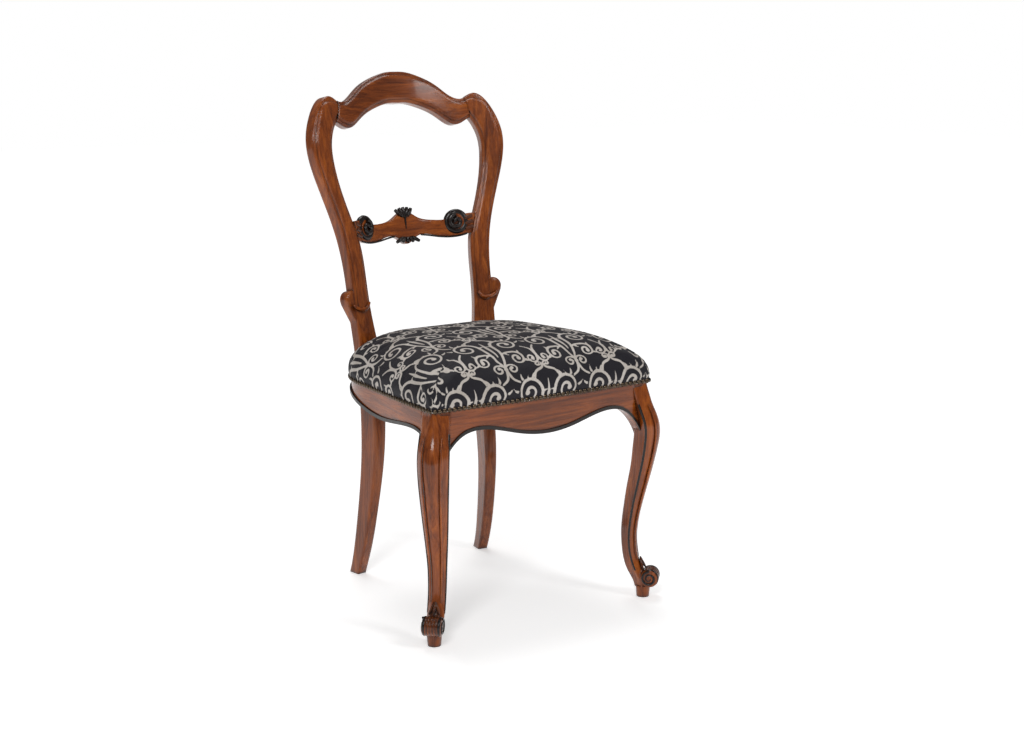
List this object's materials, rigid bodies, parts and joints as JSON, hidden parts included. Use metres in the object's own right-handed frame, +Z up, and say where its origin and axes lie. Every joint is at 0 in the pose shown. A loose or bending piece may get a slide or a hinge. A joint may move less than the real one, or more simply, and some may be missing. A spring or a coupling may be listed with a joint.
{
  "type": "side chair",
  "caption": "Balloon-back wooden dining chair with cabriole front legs, a carved lower back rail and a stuffed-over seat edged with decorative nails.",
  "frame": {"origin": "middle of the chair's base on the floor", "axes": "+Z up, the front of the chair faces -Y, +X to the viewer's right from the front"},
  "size_m": [0.5182, 0.5458, 0.9496],
  "materials": {
    "walnut": "glossy polished walnut",
    "beech": "plain sanded beech",
    "ebonised_bead": "ebonised and polished",
    "steel": "zinc plated",
    "webbing": "woven jute",
    "hessian": "open woven jute",
    "foam": "upholstery foam",
    "scroll_fabric": "black jacquard with silver scrolls",
    "bronze_nail": "antique bronze",
    "dust_cloth": "black cambric"
  },
  "bodies": {
    "root": {"rear_leg_right": "walnut", "rear_leg_left": "walnut", "crest_rail": "walnut", "mid_rail": "walnut", "front_leg_right": "walnut", "front_leg_left": "walnut", "front_rail": "walnut", "side_rail_right": "walnut", "side_rail_left": "walnut", "rear_rail": "beech", "front_corner_block_right": "beech", "front_corner_block_left": "beech", "rear_corner_block_right": "beech", "rear_corner_block_left": "beech", "crest_dowels": "beech", "mid_rail_dowels": "beech", "front_rail_dowels": "beech", "side_rail_front_dowels": "beech", "rear_rail_dowels": "beech", "side_rail_rear_dowels": "beech", "front_rail_bead": "ebonised_bead", "side_rail_bead_right": "ebonised_bead", "side_rail_bead_left": "ebonised_bead", "corner_block_screws": "steel", "webbing_tacks": "steel", "webbing_lengthwise": "webbing", "webbing_crosswise": "webbing", "hessian_deck": "hessian", "seat_foam": "foam", "seat_cover": "scroll_fabric", "decorative_nails": "bronze_nail", "dust_cloth": "dust_cloth"}
  },
  "joints": []
}
